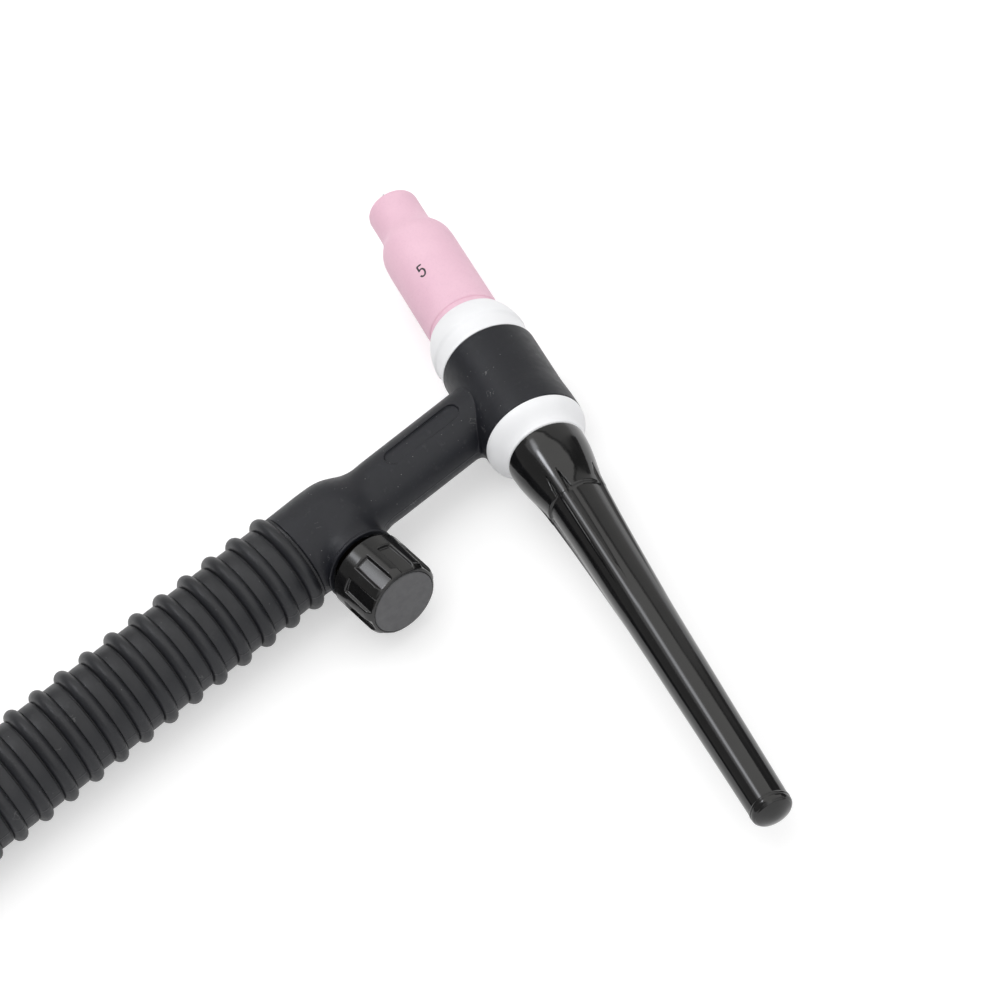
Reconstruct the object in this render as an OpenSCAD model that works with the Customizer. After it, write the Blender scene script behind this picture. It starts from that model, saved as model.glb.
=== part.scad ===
// Air-cooled TIG torch with a gas valve on the neck, a long back cap and a 10N-series gas cup.
// The torch lies flat. +X runs along the handle to the head, +Z is square to the plane of the
// torch, and the gas cup points to +Y. The origin is the centre of the handle's rear opening.

/* [Handle] */
// Length of the ribbed handle sleeve
handle_len = 130; // [100:1:180]
// Radius of the plain bands of the handle, and of the casing in front of it
grip_r = 11.5; // [10.8:0.1:12.5]
// Radius at the crest of a rib
rib_r = 13; // [12.6:0.1:14]
// Distance from rib to rib
rib_pitch = 7.34; // [6:0.02:10]
// Radius of the round bead that makes a rib
bead_r = 1.77; // [1.5:0.01:2.1]
// Front edge of the handle to the first rib's crest
first_rib = 2.6; // [2.4:0.1:5]
// Plain rim behind the last rib, at least
rear_rim = 8; // [5:0.5:20]
// Radius of the cable passage in the handle
handle_bore_r = 9; // [8.9:0.05:9.6]
// Radius of the seat for the cable cover at the rear of the handle
cable_seat_r = 9.5; // [9.3:0.05:10]
// Depth of that seat
cable_seat_len = 22; // [12:1:30]
// How far the casing's spigot reaches into the handle
spigot_len = 13; // [10:0.5:18]

/* [Neck and casing] */
// Valve's axis to the front edge of the handle
swell_behind = 10; // [9.8:0.1:12]
// Radius of the neck
neck_r = 8.3; // [7.8:0.1:9]
// Start of the swell to the valve's axis
swell_ahead = 14; // [13:0.1:16]
// Length of the swell
swell_len = 11.5; // [9:0.5:12.5]
// Angle between the handle and the back cap
head_angle = 75; // [65:1:85]
// Radius of the head's barrel at the gas cup end
barrel_r = 12.5; // [11.8:0.1:13]
// Radius of the head's barrel at the back cap end
barrel_rear_r = 12.9; // [12.4:0.1:13.4]
// Neck axis to the front end of the barrel
barrel_front = 11; // [10.5:0.1:14]
// Neck axis to the rear end of the barrel
barrel_rear = 16; // [14:0.1:18]
// Length of the shallow label panel on the neck
panel_len = 22; // [10:0.5:24]
// Width of the label panel
panel_w = 4.7; // [3:0.1:6]
// Depth of the label panel
panel_depth = 0.5; // [0.2:0.05:0.6]

/* [Gas valve] */
// Head axis to the valve's axis, along the neck
valve_place = 57; // [52:0.5:75]
// Radius of the boss round the valve
boss_r = 8.9; // [8.5:0.1:9.2]
// Handle axis to the rim of the boss
boss_top = 14; // [13.6:0.1:15]
// Radius of the knob
knob_r = 9.95; // [9.2:0.05:11]
// Length of the knob
knob_len = 14.2; // [13:0.1:18]
// Gap between the boss and the knob
knob_gap = 2; // [1:0.1:4]
// Number of grip pockets round the knob
pocket_count = 9; // [6:1:10]
// Width of a pocket's floor
pocket_w = 3.1; // [2.4:0.1:3.4]
// Depth of a pocket
pocket_depth = 0.9; // [0.5:0.05:1.1]
// Plain ring of the knob next to the boss
knob_ring = 4.2; // [3:0.1:6]
// Lift of the valve's stem in one turn
stem_pitch = 1; // [0.5:0.1:1.2]
// Turns from shut to fully open
stem_turns = 1.5; // [0.5:0.25:1.5]
// Depth of the seat for the stem's end, from the knob's end face
stem_seat_depth = 5.2; // [4.8:0.1:6]

/* [Gas cup and its gasket] */
// Whole length of the gas cup
cup_len = 49; // [46:0.5:62]
// Radius of the cup's wide part
cup_r = 9.65; // [9.5:0.05:9.9]
// Radius of the cup's nose
nose_r = 6.8; // [6:0.1:8]
// Radius of the cup's mouth
mouth_r = 4; // [3.2:0.1:5]
// Length of the white gasket in front of the barrel
gasket_len = 12.4; // [12:0.1:14.5]
// Radius of the gasket's lip
gasket_r = 12.4; // [11.6:0.1:13]
// Plain collar of the gasket, from the barrel to the lip
gasket_collar = 5.6; // [4:0.1:7]

/* [Back cap] */
// Neck axis to the tip of the back cap
cap_reach = 142.1; // [110:0.1:180]
// Radius of the cap where it meets the head
cap_base_r = 10; // [9.6:0.05:10.6]
// Length of the bell at the cap's base
bell_len = 18; // [14:0.5:22]
// Radius of the bell's small end
bell_end_r = 7.65; // [7.5:0.05:8.4]
// Radius of the cap's tube at the bell
tube_base_r = 7.05; // [6.6:0.05:7.4]
// Radius of the cap's tube at its tip
tube_tip_r = 4.9; // [4.4:0.05:5.6]
// Number of fins behind the bell
fin_count = 4; // [2:1:6]
// Thickness of a fin
fin_w = 1.5; // [0.8:0.1:2]
// Length of a fin
fin_len = 32; // [20:1:40]
// Turn of the first fin round the cap
fin_turn = 26; // [0:1:90]
// Length of the white ring between the barrel and the back cap
rear_ring_len = 6.7; // [6.5:0.1:9]
// Length of the brass insert inside the cap
insert_hold = 13; // [9:0.5:18]
// Solid end of the cap behind its hollow
cap_end_wall = 9; // [6:0.5:14]

/* [Electrode, collet and collet body] */
// Radius of the tungsten electrode
electrode_r = 1.2; // [0.8:0.05:1.2]
// Length of the electrode
electrode_len = 150; // [120:1:175]
// How far the electrode stands out of the cup
stick_out = 6.5; // [2:0.5:12]
// Radius of the collet
collet_r = 2.35; // [2.1:0.05:2.5]
// Length of the collet body
collet_body_len = 47; // [45:0.5:48]
// Radius of the gas holes in the collet body
gas_hole_r = 1; // [0.6:0.1:1.3]

/* [Metal inside] */
// Radius of the head's metal core
core_r = 9.5; // [9.3:0.05:10]
// Radius of the copper neck tube
neck_tube_r = 5; // [4.4:0.1:5.4]
// Bore of the copper neck tube
neck_tube_bore_r = 3.6; // [2.8:0.1:3.8]
// Radius of the valve block
block_r = 8; // [7.7:0.05:8.2]
// Front face of the valve block to the valve's axis
block_ahead = 8.5; // [8:0.1:9.5]
// Valve's axis to the rear face of the valve block
block_behind = 13; // [12:0.5:18]
// Radius of the power stud's thread, 3/8 inch
stud_r = 4.76; // [4:0.01:5.5]
// Length of the power stud's free thread
stud_len = 14; // [8:0.5:20]

/* [Clearances] */
// Running clearance between turned pieces, on the radius
running = 0.05; // [0.03:0.01:0.08]
// Gap between faces that come apart
face_gap = 0.1; // [0.05:0.01:0.2]
// Bond line between the casing and the metal
bond = 0.03; // [0.01:0.01:0.05]
// Free gap round a piece that only passes through
free_gap = 0.3; // [0.2:0.05:0.4]

/* [Hidden] */
$fn = 96;
eps = 0.01;

// Where the axes cross, along the handle
neck_len = valve_place + swell_behind;
swell_start = valve_place - swell_ahead;
head_x = handle_len + neck_len;
rib_count = floor((handle_len - first_rib - rear_rim) / rib_pitch) + 1;

// Head axis, forward of the neck: seats of the gasket, the collet body and the cup
gasket_back = barrel_front + face_gap;
gasket_front = gasket_back + gasket_len;
core_nose_r = 8;
core_front = barrel_front + 5;
core_step = barrel_front - 2;
flange_len = 2;
flange_r = 7.2;
thread_root = 4.7;
cup_thread_r = 6.6;
cup_thread_len = 18;
collet_body_back = 3;
collet_body_front = collet_body_back + collet_body_len;
collet_back = -3;
collet_setback = 3;
collet_front = collet_body_front - collet_setback;
collet_bore_r = collet_r + 2 * running;
nose_taper_len = 4;
nose_land = 2;
cup_back = gasket_front + face_gap;
cup_front = cup_back + cup_len;
cup_relief_r = cup_r - 0.2;
cup_relief_len = 2.2;
shoulder_len = 9;
cup_nose_len = 8.8;
cup_shoulder = cup_front - cup_nose_len - shoulder_len;
electrode_tip = cup_front + stick_out;

// Head axis, behind the neck: seats of the rear ring and the back cap
core_rear = barrel_rear + 2.5;
core_rear_r = core_r - 0.6;
ring_rear = barrel_rear + rear_ring_len;
ring_bore_r = 8.5;
cap_spigot_r = ring_bore_r - free_gap;
cap_front = core_rear + free_gap;
cap_base = ring_rear + face_gap;
o_ring_r = 0.7;
o_groove_r = ring_bore_r - 2 * o_ring_r - 2 * running;
o_groove_w = 2 * o_ring_r + 0.2;
o_ring_place = cap_front + 1 + o_groove_w / 2;
insert_thread_r = 5.5;
insert_shank_r = 5;
insert_back = cap_front + insert_hold;
insert_bore_r = electrode_r + free_gap;
bell_end = cap_base + bell_len;
cap_bore_r = 2.2;
cap_bore_end = cap_reach - cap_end_wall;
dome_len = 3;
collar_back = cap_reach - dome_len;
collar_w = 1.2;
collar_h = 0.18;
tube_curve = 1.4;

// Neck axis: the parts behind the head
cope_r = insert_thread_r + running + 0.65;
socket_len = 4;
block_front = valve_place - block_ahead;
tube_end = block_front + socket_len;
block_back = valve_place + block_behind;
stud_root_r = 4.75;
stud_root_len = 7.5;
hex_r = 7.3;
hex_len = 6;
stud_relief_r = 4.2;
stud_relief_len = 6;
stud_bore_r = 2;
stud_back = block_back + hex_len + stud_relief_len + stud_len;
spigot_end = neck_len + spigot_len;
spigot_r = handle_bore_r - running;
spigot_bore_r = block_r - 0.3;

// Valve axis, from the neck's axis outwards
seat_depth = 2.2;
seat_hole_r = 1.2;
chamber_r = 3.45;
stem_r = chamber_r - 2 * running;
stem_neck_r = 2.4;
groove_front = 8;
groove_back = 9.4;
stem_o_r = 0.65;
stem_flange = 9.9;
gland_in = stem_flange + stem_pitch * stem_turns + 2 * face_gap;
block_top = boss_top - 1.4;
gland_thread_r = 4.3;
gland_hex_r = 5.4;
gland_hex_len = 2;
block_boss_r = 6.6;
recess_r = boss_r - 0.7;
recess_depth = 1.5;
knob_base = boss_top + knob_gap;
knob_end = knob_base + knob_len;
knob_round = 1.7;
knob_hub_r = 5.2;
knob_skirt_r = knob_r - 1.4;
knob_skirt_depth = 2.4;
cover_r = knob_r - knob_round + 0.1;
cover_t = 1.35;
stem_end = knob_end - stem_seat_depth;
hub_floor = 1.6;
screw_r = 1.45;
screw_head_r = 3;
screw_head_len = 1.6;
screw_len = 8;

rubber = [0.11, 0.11, 0.12];
phenolic = [0.05, 0.05, 0.055];
white_ptfe = [0.93, 0.93, 0.92];
pink_alumina = [0.93, 0.76, 0.84];
brass = [0.80, 0.66, 0.35];
copper = [0.76, 0.46, 0.32];
steel = [0.62, 0.63, 0.65];
nitrile = [0.07, 0.07, 0.07];
cover_grey = [0.28, 0.28, 0.29];

// Frames: each turns local +Z along one of the torch's axes
module forward_of_head() {
    translate([head_x, 0, 0]) rotate([0, 0, head_angle]) rotate([0, 90, 0]) children();
}

module behind_head() {
    translate([head_x, 0, 0]) rotate([0, 0, head_angle + 180]) rotate([0, 90, 0]) children();
}

module along_neck() {
    translate([head_x, 0, 0]) rotate([0, -90, 0]) children();
}

module along_valve() {
    translate([head_x - valve_place, 0, 0]) rotate([90, 0, 0]) children();
}

// Turned shapes: outlines are lists of [radius, place along the axis]
module turned(outline) {
    rotate_extrude() polygon(outline);
}

module rod(from, to, r) {
    translate([0, 0, from]) cylinder(h = to - from, r = r);
}

module tapered(from, to, r_from, r_to) {
    translate([0, 0, from]) cylinder(h = to - from, r1 = r_from, r2 = r_to);
}

// A soft S from one radius to another between two places
function ease(s) = (1 - cos(180 * s)) / 2;
function s_curve(from, to, r_from, r_to, steps = 8) =
    [for (i = [0 : steps]) let (s = i / steps)
        [r_from + (r_to - r_from) * ease(s), from + (to - from) * s]];

// A quarter round from a cylinder's side to its end face
function round_end(r, end, radius, steps = 5) =
    [for (i = [0 : steps]) let (a = 90 * i / steps)
        [r - radius + radius * cos(a), end - radius + radius * sin(a)]];

// ---- Casing ----

module barrel_skin() {
    flare_start = 5;
    edge = 0.4;
    behind_head() turned([
        [0, -barrel_front],
        [barrel_r - edge, -barrel_front],
        [barrel_r, -barrel_front + edge],
        [barrel_r, flare_start],
        [barrel_rear_r, barrel_rear],
        [0, barrel_rear]
    ]);
}

module neck_skin() {
    along_neck() turned(concat(
        [[0, 0], [neck_r, 0]],
        s_curve(swell_start, swell_start + swell_len, neck_r, grip_r),
        [[grip_r, neck_len], [spigot_r, neck_len], [spigot_r, spigot_end], [0, spigot_end]]
    ));
}

module boss_skin() {
    lip = 0.6;
    lip_h = 0.9;
    along_valve() turned([
        [0, 0],
        [boss_r + lip, 0],
        [boss_r + lip, grip_r - 3.5],
        [boss_r, grip_r - 1.5],
        [boss_r, boss_top - lip_h - lip],
        [boss_r + lip, boss_top - lip_h],
        [boss_r + lip, boss_top],
        [0, boss_top]
    ]);
}

// Round web in the corner between the neck and the back cap end of the barrel
module corner_web() {
    web_r = 4.2;
    web_len = 12;
    web_turn = 20;
    web_start = 25;
    translate([head_x - web_start, web_r - neck_r + 0.1, 0])
        rotate([0, 90, -web_turn])
            cylinder(h = web_len, r = web_r);
}

// Shallow panel with round ends on top of the neck, left bare
module label_panel() {
    panel_place = 25.4;
    half_span = panel_len / 2 - panel_w / 2;
    along_neck() difference() {
        union() {
            for (side = [-1, 1])
                translate([0, 0, panel_place + side * half_span])
                    rotate([0, 90, 0]) cylinder(h = 2 * neck_r, r = panel_w / 2);
            translate([0, -panel_w / 2, panel_place - half_span])
                cube([2 * neck_r, panel_w, 2 * half_span]);
        }
        rod(0, neck_len, neck_r - panel_depth);
    }
}

module torch_casing() {
    color(rubber) difference() {
        union() {
            barrel_skin();
            neck_skin();
            boss_skin();
            corner_web();
        }
        forward_of_head() {
            rod(-barrel_rear - 1, core_step + bond, core_r + bond);
            rod(0, barrel_front + 1, core_nose_r + bond);
        }
        along_neck() {
            rod(0, tube_end + bond, neck_tube_r + bond);
            rod(block_front - bond, block_back + bond, block_r + bond);
            rod(block_back, spigot_end + 1, spigot_bore_r);
        }
        along_valve() {
            rod(0, boss_top + 1, block_boss_r + bond);
            rod(boss_top - recess_depth, boss_top + 1, recess_r);
        }
        label_panel();
    }
}

// ---- Metal inside ----

module head_core() {
    chamber_r_head = 4;
    port_r = 2.6;
    color(brass) difference() {
        forward_of_head() difference() {
            union() {
                rod(-barrel_rear, core_step, core_r);
                rod(-core_rear, -barrel_rear + eps, core_rear_r);
                rod(core_step - eps, core_front, core_nose_r);
            }
            rod(-core_rear - 1, collet_back + 0.4, insert_thread_r + running);
            rod(collet_back, collet_body_back, chamber_r_head);
            rod(collet_body_back - 0.5, core_front + 1, thread_root + running);
        }
        difference() {
            along_neck() rod(0, core_r + 2, neck_tube_r + bond);
            forward_of_head() rod(-2 * core_r, 2 * core_r, cope_r - bond);
        }
        along_neck() rod(0, core_r, port_r);
    }
}

module neck_tube() {
    color(copper) difference() {
        along_neck() difference() {
            rod(0, tube_end, neck_tube_r);
            rod(-1, tube_end + 1, neck_tube_bore_r);
        }
        forward_of_head() rod(-2 * core_r, 2 * core_r, cope_r);
    }
}

module valve_block() {
    outlet_r = 1.2;
    outlet_offset = 3.1;
    inlet_r = 1.1;
    color(brass) difference() {
        union() {
            along_neck() rod(block_front, block_back, block_r);
            along_valve() rod(0, block_top, block_boss_r);
        }
        along_neck() {
            rod(block_front - 1, tube_end, neck_tube_r + bond);
            translate([0, -outlet_offset, 0]) rod(tube_end - 1, valve_place - 2, outlet_r);
            rod(valve_place, block_back + 1, inlet_r);
            rod(block_back - stud_root_len - 0.5, block_back + 1, stud_root_r + bond);
        }
        along_valve() {
            rod(-seat_hole_r - 0.3, seat_depth + 1, seat_hole_r);
            rod(seat_depth, block_top + 1, chamber_r);
            rod(gland_in - face_gap, block_top + 1, gland_thread_r + running);
        }
    }
}

module power_stud() {
    hex_back = block_back + hex_len;
    color(brass) along_neck() difference() {
        union() {
            rod(block_back - stud_root_len, block_back + eps, stud_root_r);
            translate([0, 0, block_back]) cylinder(h = hex_len, r = hex_r, $fn = 6);
            rod(hex_back - eps, hex_back + stud_relief_len, stud_relief_r);
            rod(hex_back + stud_relief_len - eps, stud_back, stud_r);
        }
        rod(block_back - stud_root_len - 1, stud_back + 1, stud_bore_r);
    }
}

// ---- Handle ----

module handle_sleeve() {
    end_round = 0.8;
    color(rubber) translate([handle_len, 0, 0]) rotate([0, -90, 0]) difference() {
        rotate_extrude() difference() {
            union() {
                polygon(concat(
                    [[0, 0], [grip_r - end_round, 0], [grip_r, end_round]],
                    round_end(grip_r, handle_len, end_round),
                    [[0, handle_len]]
                ));
                for (i = [0 : rib_count - 1])
                    translate([rib_r - bead_r, first_rib + i * rib_pitch]) circle(r = bead_r);
            }
            translate([-grip_r, -1]) square([grip_r, handle_len + 2]);
        }
        rod(-1, handle_len + 1, handle_bore_r);
        rod(handle_len - cable_seat_len, handle_len + 1, cable_seat_r);
    }
}

// ---- White rings ----

// The gasket's outside: a plain collar, a fine lip and a dome down to the cup
module front_gasket() {
    collar_r = gasket_r - 0.25;
    lip_place = gasket_back + gasket_collar;
    dome_end_r = cup_r + 1.05;
    dome_steps = 9;
    dome_power = 1.6;
    edge = 0.3;
    dome = [for (i = [0 : dome_steps]) let (u = i / dome_steps)
        [dome_end_r + (gasket_r - dome_end_r) * (1 - pow(u, dome_power)),
         lip_place + (gasket_front - edge - lip_place) * u]];
    color(white_ptfe) forward_of_head() difference() {
        turned(concat(
            [[0, gasket_back], [gasket_r, gasket_back], [collar_r, gasket_back + 3],
             [collar_r, lip_place - 0.5]],
            dome,
            [[dome_end_r - edge, gasket_front], [0, gasket_front]]
        ));
        rod(gasket_back - 1, core_front + face_gap, core_nose_r + 2 * running);
        rod(gasket_back, gasket_front + 1, flange_r + free_gap);
    }
}

// The rear ring rounds in from the barrel to the back cap
module rear_insulator() {
    lip_r = barrel_rear_r - 0.1;
    mouth = cap_base_r + 0.1;
    color(white_ptfe) behind_head() difference() {
        turned([
            [0, barrel_rear],
            [lip_r, barrel_rear],
            [lip_r, barrel_rear + 1.1],
            [lip_r - 0.35, barrel_rear + 2.1],
            [lip_r - 0.95, barrel_rear + 3.1],
            [mouth + 1.05, barrel_rear + 4.05],
            [mouth + 0.42, barrel_rear + 5],
            [mouth + 0.05, barrel_rear + 6],
            [mouth, ring_rear],
            [0, ring_rear]
        ]);
        rod(barrel_rear - 1, core_rear + eps, core_rear_r + bond);
        rod(core_rear, ring_rear + 1, ring_bore_r);
    }
}

// ---- Gas cup, collet body, collet and electrode ----

module gas_cup() {
    cup_bore_r = cup_thread_r + 2 * running;
    bore_end = cup_shoulder - 2.5;
    throat = cup_shoulder + 4.5;
    mouth_round = 0.6;
    relief_step = 0.15;
    color(pink_alumina) forward_of_head() difference() {
        turned(concat(
            [[0, cup_back], [cup_relief_r, cup_back], [cup_relief_r, cup_back + cup_relief_len],
             [cup_r, cup_back + cup_relief_len + relief_step]],
            s_curve(cup_shoulder, cup_shoulder + shoulder_len, cup_r, nose_r),
            round_end(nose_r, cup_front, mouth_round),
            [[0, cup_front]]
        ));
        rod(cup_back - 1, bore_end, cup_bore_r);
        tapered(bore_end - eps, throat, cup_bore_r, mouth_r);
        rod(throat - eps, cup_front + 1, mouth_r);
    }
}

module collet_body() {
    thread_back = core_front + flange_len;
    thread_front = thread_back + cup_thread_len;
    front_r = 4.4;
    front_taper = 2;
    hole_place = thread_front + 5;
    taper_start = collet_body_front - nose_taper_len - nose_land;
    exit_r = 1.6;
    color(brass) forward_of_head() difference() {
        union() {
            rod(collet_body_back, core_front + eps, thread_root);
            rod(core_front, thread_back, flange_r);
            rod(thread_back - eps, thread_front, cup_thread_r);
            tapered(thread_front - eps, thread_front + front_taper, cup_thread_r, front_r);
            rod(thread_front, collet_body_front, front_r);
        }
        rod(collet_body_back - 1, taper_start, collet_bore_r);
        tapered(taper_start - eps, taper_start + nose_taper_len, collet_bore_r, exit_r);
        rod(collet_body_front - nose_land - 1, collet_body_front + 1, exit_r);
        for (a = [0, 90])
            translate([0, 0, hole_place]) rotate([0, 0, a]) rotate([0, 90, 0])
                cylinder(h = 3 * front_r, r = gas_hole_r, center = true);
    }
}

// Split copper tube: four fingers close on the electrode
module collet() {
    slot_w = 0.5;
    slot_len = 11;
    nose_len = 2.8;
    nose_tip_r = collet_r - 0.6;
    color(copper) forward_of_head() difference() {
        turned([
            [electrode_r + running, collet_back],
            [collet_r, collet_back],
            [collet_r, collet_front - nose_len],
            [nose_tip_r, collet_front],
            [electrode_r + running, collet_front]
        ]);
        for (a = [45, 135])
            rotate([0, 0, a]) translate([-2 * collet_r, -slot_w / 2, collet_front - slot_len])
                cube([4 * collet_r, slot_w, slot_len + 1]);
    }
}

module electrode() {
    point_len = 5;
    flat_r = 0.15;
    color(steel) forward_of_head() turned([
        [0, electrode_tip - electrode_len],
        [electrode_r, electrode_tip - electrode_len],
        [electrode_r, electrode_tip - point_len],
        [flat_r, electrode_tip],
        [0, electrode_tip]
    ]);
}

// ---- Back cap ----

function tube_r(place) =
    tube_tip_r + (tube_base_r - tube_tip_r)
        * pow(1 - (place - bell_end) / (collar_back - bell_end), tube_curve);

module cap_skin() {
    edge = 0.35;
    tube_steps = 10;
    bell_steps = 7;
    bell_lag = 1.15;
    dome_power = 0.75;
    dome_steps = 8;
    // Bell: nearly straight at the ring, falling in a late S towards the tube
    bell = [for (i = [0 : bell_steps]) let (u = i / bell_steps)
        [bell_end_r + (cap_base_r - bell_end_r) * (1 - ease(pow(u, bell_lag))),
         cap_base + edge + (bell_len - edge) * u]];
    tube = [for (i = [0 : tube_steps]) let (u = i / tube_steps,
        place = bell_end + 0.5 + (collar_back - collar_w - bell_end - 0.5) * u)
        [tube_r(place), place]];
    dome = [for (i = [0 : dome_steps]) let (a = 90 * i / dome_steps)
        [(tube_tip_r - 0.15) * pow(cos(a), dome_power), collar_back + dome_len * sin(a)]];
    turned(concat(
        [[0, cap_front], [cap_spigot_r, cap_front], [cap_spigot_r, cap_base],
         [cap_base_r - edge, cap_base]],
        bell,
        tube,
        [[tube_tip_r + collar_h, collar_back - collar_w + 0.2],
         [tube_tip_r + collar_h, collar_back - 0.2]],
        dome
    ));
}

// A fin runs back from the bell and dies out in the tube
module fin() {
    fin_start = cap_base + 0.6 * bell_len;
    fin_end = bell_end + fin_len;
    fin_rise = 0.25;
    translate([0, fin_w / 2, 0]) rotate([90, 0, 0]) linear_extrude(height = fin_w) polygon([
        [cap_bore_r + 1, fin_start],
        [bell_end_r - 0.5, fin_start],
        [bell_end_r + fin_rise, bell_end],
        [tube_r(bell_end + 0.4 * fin_len) + 0.62, bell_end + 0.4 * fin_len],
        [tube_r(fin_end) - 0.05, fin_end],
        [cap_bore_r + 1, fin_end]
    ]);
}

module back_cap() {
    color(phenolic) behind_head() difference() {
        union() {
            cap_skin();
            for (i = [0 : fin_count - 1])
                rotate([0, 0, fin_turn + i * 360 / fin_count]) fin();
        }
        rod(cap_front - 1, insert_back, insert_shank_r);
        rod(insert_back - 1, cap_bore_end, cap_bore_r);
        difference() {
            rod(o_ring_place - o_groove_w / 2, o_ring_place + o_groove_w / 2, cap_spigot_r + 1);
            rod(0, cap_base, o_groove_r);
        }
    }
}

module back_cap_insert() {
    insert_front = -collet_back + face_gap;
    mouth_len = 1;
    color(brass) behind_head() difference() {
        union() {
            rod(insert_front, cap_front, insert_thread_r);
            rod(cap_front - eps, insert_back, insert_shank_r);
        }
        rod(insert_front - 1, insert_back + 1, insert_bore_r);
        tapered(insert_front - eps, insert_front + mouth_len, insert_bore_r + mouth_len, insert_bore_r);
    }
}

module back_cap_o_ring() {
    color(nitrile) behind_head() translate([0, 0, o_ring_place]) rotate_extrude()
        translate([ring_bore_r - running - o_ring_r, 0]) circle(r = o_ring_r);
}

// ---- Gas valve ----

module valve_stem() {
    tip_r = 0.3;
    tip = 1;
    seat_r = seat_hole_r - 0.08;
    cone_r = stem_neck_r;
    cone_len = (seat_depth - tip) * (cone_r - tip_r) / (seat_r - tip_r);
    thread_front = tip + cone_len + 0.5;
    groove_r = chamber_r - 2 * stem_o_r - 2 * running;
    color(brass) along_valve() difference() {
        turned([
            [0, tip],
            [tip_r, tip],
            [cone_r, tip + cone_len],
            [cone_r, thread_front],
            [stem_r, thread_front],
            [stem_r, groove_front],
            [groove_r, groove_front],
            [groove_r, groove_back],
            [stem_r, groove_back],
            [stem_r, stem_flange],
            [stem_neck_r, stem_flange],
            [stem_neck_r, stem_end],
            [0, stem_end]
        ]);
        rod(stem_end - screw_len + 1.5, stem_end + 1, screw_r + bond);
    }
}

module stem_o_ring() {
    color(nitrile) along_valve() translate([0, 0, (groove_front + groove_back) / 2])
        rotate_extrude() translate([chamber_r - running - stem_o_r, 0]) circle(r = stem_o_r);
}

module gland_nut() {
    color(brass) along_valve() difference() {
        union() {
            rod(gland_in, block_top + eps, gland_thread_r);
            translate([0, 0, block_top])
                cylinder(h = gland_hex_len, r = gland_hex_r, $fn = 6);
        }
        rod(gland_in - 1, block_top + gland_hex_len + 1, stem_neck_r + 2 * running);
    }
}

// Knob with open-ended grip pockets, a hub for the stem and a seat for its cover
module valve_knob() {
    edge = 0.3;
    wall_slope = 1.1;
    first_pocket = 104.5;
    pocket_start = knob_base + knob_ring;
    floor_r = knob_r - pocket_depth;
    color(phenolic) along_valve() difference() {
        turned(concat(
            [[0, knob_base], [knob_r - edge, knob_base], [knob_r, knob_base + edge]],
            round_end(knob_r, knob_end, knob_round),
            [[0, knob_end]]
        ));
        difference() {
            rod(knob_base - 1, knob_base + knob_skirt_depth, knob_skirt_r);
            rod(knob_base - 2, knob_base + knob_skirt_depth + 1, knob_hub_r);
        }
        rod(knob_base - 1, stem_end, stem_neck_r + bond);
        rod(stem_end - 1, knob_end, screw_r + bond);
        rod(stem_end + hub_floor, knob_end, screw_head_r + free_gap);
        rod(knob_end - cover_t - bond, knob_end + 1, cover_r + bond);
        for (i = [0 : pocket_count - 1])
            rotate([0, 0, first_pocket + i * 360 / pocket_count])
                translate([0, 0, pocket_start]) linear_extrude(height = knob_len) polygon([
                    [floor_r, -pocket_w / 2],
                    [knob_r + 1, -pocket_w / 2 - wall_slope * (pocket_depth + 1)],
                    [knob_r + 1, pocket_w / 2 + wall_slope * (pocket_depth + 1)],
                    [floor_r, pocket_w / 2]
                ]);
    }
}

module knob_screw() {
    slot_w = 0.9;
    slot_depth = 0.8;
    head_base = stem_end + hub_floor;
    color(steel) along_valve() difference() {
        union() {
            rod(head_base - screw_len, head_base + eps, screw_r);
            rod(head_base, head_base + screw_head_len, screw_head_r);
        }
        translate([-2 * screw_head_r, -slot_w / 2, head_base + screw_head_len - slot_depth])
            cube([4 * screw_head_r, slot_w, slot_depth + 1]);
    }
}

module knob_cover() {
    edge = 0.15;
    color(cover_grey) along_valve() turned([
        [0, knob_end - cover_t],
        [cover_r, knob_end - cover_t],
        [cover_r, knob_end - edge],
        [cover_r - edge, knob_end],
        [0, knob_end]
    ]);
}

torch_casing();
head_core();
neck_tube();
valve_block();
power_stud();
handle_sleeve();
front_gasket();
rear_insulator();
collet_body();
collet();
electrode();
gas_cup();
back_cap();
back_cap_insert();
back_cap_o_ring();
valve_stem();
stem_o_ring();
gland_nut();
valve_knob();
knob_screw();
knob_cover();
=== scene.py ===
"""Looks of the TIG torch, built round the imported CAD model.

Lengths are in millimetres and become metres where a mesh is made. Shapes of revolution are
outlines of [radius, place along the axis]. Shapes that flow into each other are fields, below
zero inside the solid, which a net over a grid turns into a mesh.
"""
import math

import bmesh
import bpy
import numpy as np
from mathutils import Matrix, Vector


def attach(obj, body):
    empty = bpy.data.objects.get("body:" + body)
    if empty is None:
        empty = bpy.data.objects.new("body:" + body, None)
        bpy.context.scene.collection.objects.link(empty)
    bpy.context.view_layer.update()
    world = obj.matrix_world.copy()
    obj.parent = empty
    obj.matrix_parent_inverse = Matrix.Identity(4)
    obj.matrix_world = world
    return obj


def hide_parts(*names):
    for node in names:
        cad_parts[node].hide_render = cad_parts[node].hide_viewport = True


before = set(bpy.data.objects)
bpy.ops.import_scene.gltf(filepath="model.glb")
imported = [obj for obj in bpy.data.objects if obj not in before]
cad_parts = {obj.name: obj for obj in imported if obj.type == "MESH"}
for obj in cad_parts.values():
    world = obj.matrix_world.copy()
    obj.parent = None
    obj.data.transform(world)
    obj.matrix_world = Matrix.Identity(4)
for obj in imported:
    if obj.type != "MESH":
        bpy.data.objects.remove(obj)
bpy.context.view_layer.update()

MM = 0.001

# ---------------------------------------------------------------- axes of the torch

HEAD_X = 197.0
HEAD_ANGLE = math.radians(75)
VALVE_X = 140.0
# Both ends of the handle, from the head's axis
HANDLE_FRONT, HANDLE_REAR = 67.0, HEAD_X

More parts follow.
